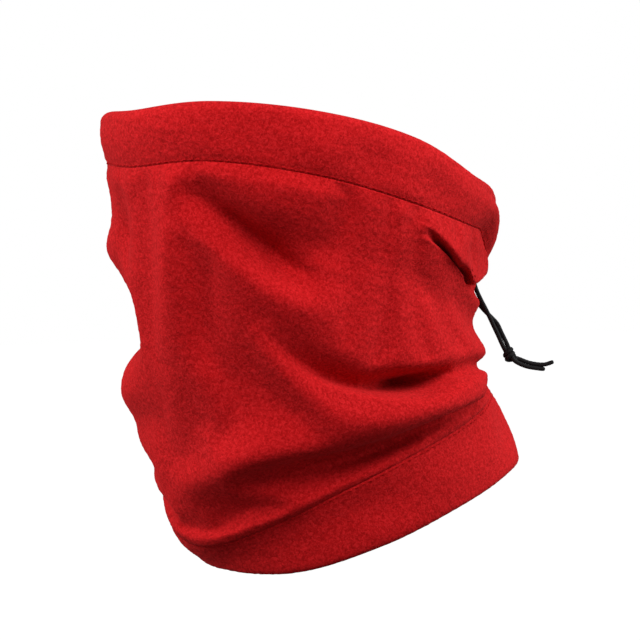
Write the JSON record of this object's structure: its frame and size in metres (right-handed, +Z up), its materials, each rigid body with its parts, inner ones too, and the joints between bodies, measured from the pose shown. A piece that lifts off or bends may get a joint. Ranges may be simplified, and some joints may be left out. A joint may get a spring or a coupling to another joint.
{
  "type": "neck gaiter",
  "caption": "Soft fleece tube worn around the neck, with stitched hems and an elastic drawcord, cord lock and knot at the nape.",
  "frame": {"origin": "on the axis of the wearer's neck, half way up the tube", "axes": "+Z up, -Y the way the wearer faces, +X the wearer's left"},
  "size_m": [0.1577, 0.2376, 0.205],
  "materials": {
    "red_fleece": "matte",
    "red_thread": "matte",
    "white_satin_label": "satin",
    "black_metal": "satin",
    "black_elastic_cord": "matte",
    "black_plastic": "matte",
    "spring_steel": "satin"
  },
  "bodies": {
    "gaiter": {"body_panel": "red_fleece", "upper_hem": "red_fleece", "lower_hem": "red_fleece", "back_seam": "red_fleece", "upper_hem_thread": "red_thread", "lower_hem_thread": "red_thread", "care_label": "white_satin_label", "eyelet_left": "black_metal", "eyelet_right": "black_metal", "eyelet_washer_left": "black_metal", "eyelet_washer_right": "black_metal", "channel_cord": "black_elastic_cord", "cord_strand_left": "black_elastic_cord", "cord_strand_right": "black_elastic_cord"},
    "cord_end": {"cord_knot": "black_elastic_cord", "cord_tail_left": "black_elastic_cord", "cord_tail_right": "black_elastic_cord"},
    "cord_lock": {"cord_lock_barrel": "black_plastic", "cord_lock_spring": "spring_steel"},
    "lock_button": {"cord_lock_plunger": "black_plastic"}
  },
  "joints": [
    {"name": "cord_pull", "type": "slide", "parent": "gaiter", "child": "cord_end", "axis": [0.2644, 0.3351, -0.9043], "range_m": [0, 0.04], "deforming": ["cord_strand_left", "cord_strand_right"]},
    {"name": "cord_lock_slide", "type": "slide", "parent": "gaiter", "child": "cord_lock", "axis": [0.2644, 0.3351, -0.9043], "range_m": [0, 0.042]},
    {"name": "lock_button_press", "type": "slide", "parent": "cord_lock", "child": "lock_button", "axis": [0.9644, -0.0919, 0.2479], "range_m": [0, 0.003], "stiffness_N_per_m": 800, "springref_m": -0.001, "deforming": ["cord_lock_spring"]}
  ]
}
